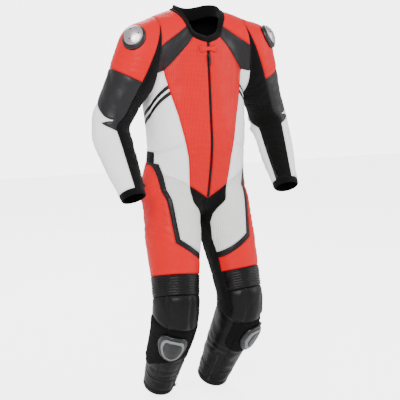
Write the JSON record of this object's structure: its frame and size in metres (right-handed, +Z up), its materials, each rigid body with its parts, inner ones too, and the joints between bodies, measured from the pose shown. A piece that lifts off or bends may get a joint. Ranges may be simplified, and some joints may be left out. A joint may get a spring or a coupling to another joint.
{
  "type": "one-piece leather riding suit",
  "caption": "One-piece leather riding suit in red, white and black panels, with a front zip, stretch inserts, shoulder plates and removable knee sliders.",
  "frame": {"origin": "middle of the collar opening, where a hanger or a neck carries the suit", "axes": "+Z up, -Y the wearer's front, +X the wearer's left"},
  "size_m": [0.7682, 0.3666, 1.4026],
  "materials": {
    "red_leather": "smooth, partly perforated",
    "white_leather": "smooth, partly perforated",
    "grey_leather": "smooth",
    "black_leather": "smooth, ribbed at the knee",
    "stretch_fabric": "woven stretch",
    "collar_knit": "soft knit",
    "hook_loop": "hook-and-loop pile",
    "zip": "moulded teeth on tape",
    "zip_metal": "cast",
    "steel": "brushed",
    "black_plastic": "moulded",
    "slider_plastic": "moulded",
    "hump_foam": "leather-covered foam",
    "protector_foam": "foam"
  },
  "bodies": {
    "torso": {"front_zip_chain": "zip", "chest_yoke_left": "grey_leather", "chest_yoke_right": "grey_leather", "shoulder_panel_left": "red_leather", "shoulder_panel_right": "red_leather", "front_panel_left": "red_leather", "front_panel_right": "red_leather", "waist_stretch_panel": "stretch_fabric", "seat_panel": "red_leather", "side_panel_left": "white_leather", "side_panel_right": "white_leather", "hip_stretch_panel_left": "stretch_fabric", "hip_stretch_panel_right": "stretch_fabric", "back_hump": "hump_foam", "back_protector": "protector_foam", "collar_band": "collar_knit"},
    "upper_sleeve_left": {"upper_sleeve_stretch_left": "stretch_fabric", "sleeve_cap_left": "red_leather", "upper_sleeve_panel_left": "grey_leather", "elbow_stretch_ring_left": "grey_leather", "shoulder_slider_base_left": "black_plastic", "shoulder_slider_plate_left": "steel"},
    "lower_sleeve_left": {"sleeve_cuff_left": "collar_knit", "forearm_stretch_left": "stretch_fabric", "forearm_panel_left": "white_leather"},
    "cuff_zip_pull_left": {"cuff_zip_slider_left": "zip_metal"},
    "thigh_left": {"inner_thigh_stretch_left": "stretch_fabric", "thigh_front_panel_left": "white_leather", "thigh_outer_panel_left": "red_leather", "knee_stretch_ring_left": "black_leather"},
    "lower_leg_left": {"leg_hem_left": "black_leather", "calf_panel_left": "stretch_fabric", "shin_panel_left": "black_leather", "knee_slider_patch_left": "hook_loop"},
    "slider_left": {"knee_slider_left": "slider_plastic"},
    "calf_zip_pull_left": {"calf_zip_slider_left": "zip_metal"},
    "upper_sleeve_right": {"upper_sleeve_stretch_right": "stretch_fabric", "sleeve_cap_right": "red_leather", "upper_sleeve_panel_right": "grey_leather", "elbow_stretch_ring_right": "grey_leather", "shoulder_slider_base_right": "black_plastic", "shoulder_slider_plate_right": "steel"},
    "lower_sleeve_right": {"sleeve_cuff_right": "collar_knit", "forearm_stretch_right": "stretch_fabric", "forearm_panel_right": "white_leather"},
    "cuff_zip_pull_right": {"cuff_zip_slider_right": "zip_metal"},
    "thigh_right": {"inner_thigh_stretch_right": "stretch_fabric", "thigh_front_panel_right": "white_leather", "thigh_outer_panel_right": "red_leather", "knee_stretch_ring_right": "black_leather"},
    "lower_leg_right": {"leg_hem_right": "black_leather", "calf_panel_right": "stretch_fabric", "shin_panel_right": "black_leather", "knee_slider_patch_right": "hook_loop"},
    "slider_right": {"knee_slider_right": "slider_plastic"},
    "calf_zip_pull_right": {"calf_zip_slider_right": "zip_metal"},
    "collar_snap_tab": {"collar_tab": "red_leather"},
    "zip_slider_body": {"zip_slider": "zip_metal"},
    "zip_pull_tab": {"zip_pull": "zip_metal"}
  },
  "joints": [
    {"name": "shoulder_left", "type": "hinge", "parent": "torso", "child": "upper_sleeve_left", "pos_m": [0.208, 0.005, -0.086], "axis": [-0.9962, 0, -0.0872], "range_deg": [-15, 25]},
    {"name": "elbow_left", "type": "hinge", "parent": "upper_sleeve_left", "child": "lower_sleeve_left", "pos_m": [0.324, 0.042, -0.356], "axis": [-0.8114, 0.5141, -0.2781], "range_deg": [-10, 42], "deforming": ["elbow_stretch_ring_left"]},
    {"name": "hip_left", "type": "hinge", "parent": "torso", "child": "thigh_left", "pos_m": [0.102, 0.002, -0.648], "axis": [-1, 0, 0], "range_deg": [-10, 30], "deforming": ["hip_stretch_panel_left"]},
    {"name": "knee_left", "type": "hinge", "parent": "thigh_left", "child": "lower_leg_left", "pos_m": [0.131, -0.094, -1], "axis": [0.9862, 0.1614, 0.0372], "range_deg": [-15, 45], "deforming": ["knee_stretch_ring_left"]},
    {"name": "knee_slider_pull_left", "type": "slide", "parent": "lower_leg_left", "child": "slider_left", "axis": [0.4116, -0.7767, -0.4768], "range_m": [0, 0.04]},
    {"name": "cuff_zip_left", "type": "slide", "parent": "lower_sleeve_left", "child": "cuff_zip_pull_left", "axis": [-0.0089, 0.5254, 0.8508], "range_m": [0, 0.12]},
    {"name": "calf_zip_left", "type": "slide", "parent": "lower_leg_left", "child": "calf_zip_pull_left", "axis": [-0.004, -0.5538, 0.8327], "range_m": [0, 0.12]},
    {"name": "shoulder_right", "type": "hinge", "parent": "torso", "child": "upper_sleeve_right", "pos_m": [-0.208, 0.005, -0.086], "axis": [-0.9962, 0, 0.0872], "range_deg": [-15, 25]},
    {"name": "elbow_right", "type": "hinge", "parent": "upper_sleeve_right", "child": "lower_sleeve_right", "pos_m": [-0.324, 0.042, -0.356], "axis": [-0.8114, -0.5141, 0.2781], "range_deg": [-10, 42], "deforming": ["elbow_stretch_ring_right"]},
    {"name": "hip_right", "type": "hinge", "parent": "torso", "child": "thigh_right", "pos_m": [-0.102, 0.002, -0.648], "axis": [-1, 0, 0], "range_deg": [-10, 30], "deforming": ["hip_stretch_panel_right"]},
    {"name": "knee_right", "type": "hinge", "parent": "thigh_right", "child": "lower_leg_right", "pos_m": [-0.131, -0.094, -1], "axis": [0.9862, -0.1614, -0.0372], "range_deg": [-15, 45], "deforming": ["knee_stretch_ring_right"]},
    {"name": "knee_slider_pull_right", "type": "slide", "parent": "lower_leg_right", "child": "slider_right", "axis": [-0.4116, -0.7767, -0.4768], "range_m": [0, 0.04]},
    {"name": "cuff_zip_right", "type": "slide", "parent": "lower_sleeve_right", "child": "cuff_zip_pull_right", "axis": [0.0089, 0.5254, 0.8508], "range_m": [0, 0.12]},
    {"name": "calf_zip_right", "type": "slide", "parent": "lower_leg_right", "child": "calf_zip_pull_right", "axis": [0.004, -0.5538, 0.8327], "range_m": [0, 0.12]},
    {"name": "front_zip", "type": "slide", "parent": "torso", "child": "zip_slider_body", "axis": [0, -0.091, -0.9958], "range_m": [0, 0.28]},
    {"name": "zip_pull_swing", "type": "hinge", "parent": "zip_slider_body", "child": "zip_pull_tab", "pos_m": [0, -0.09023, -0.11033], "axis": [-1, 0, 0], "range_deg": [0, 100]},
    {"name": "collar_tab_swing", "type": "hinge", "parent": "torso", "child": "collar_snap_tab", "pos_m": [-0.036, -0.0795, -0.09], "axis": [0, 0, -1], "range_deg": [0, 60]}
  ]
}
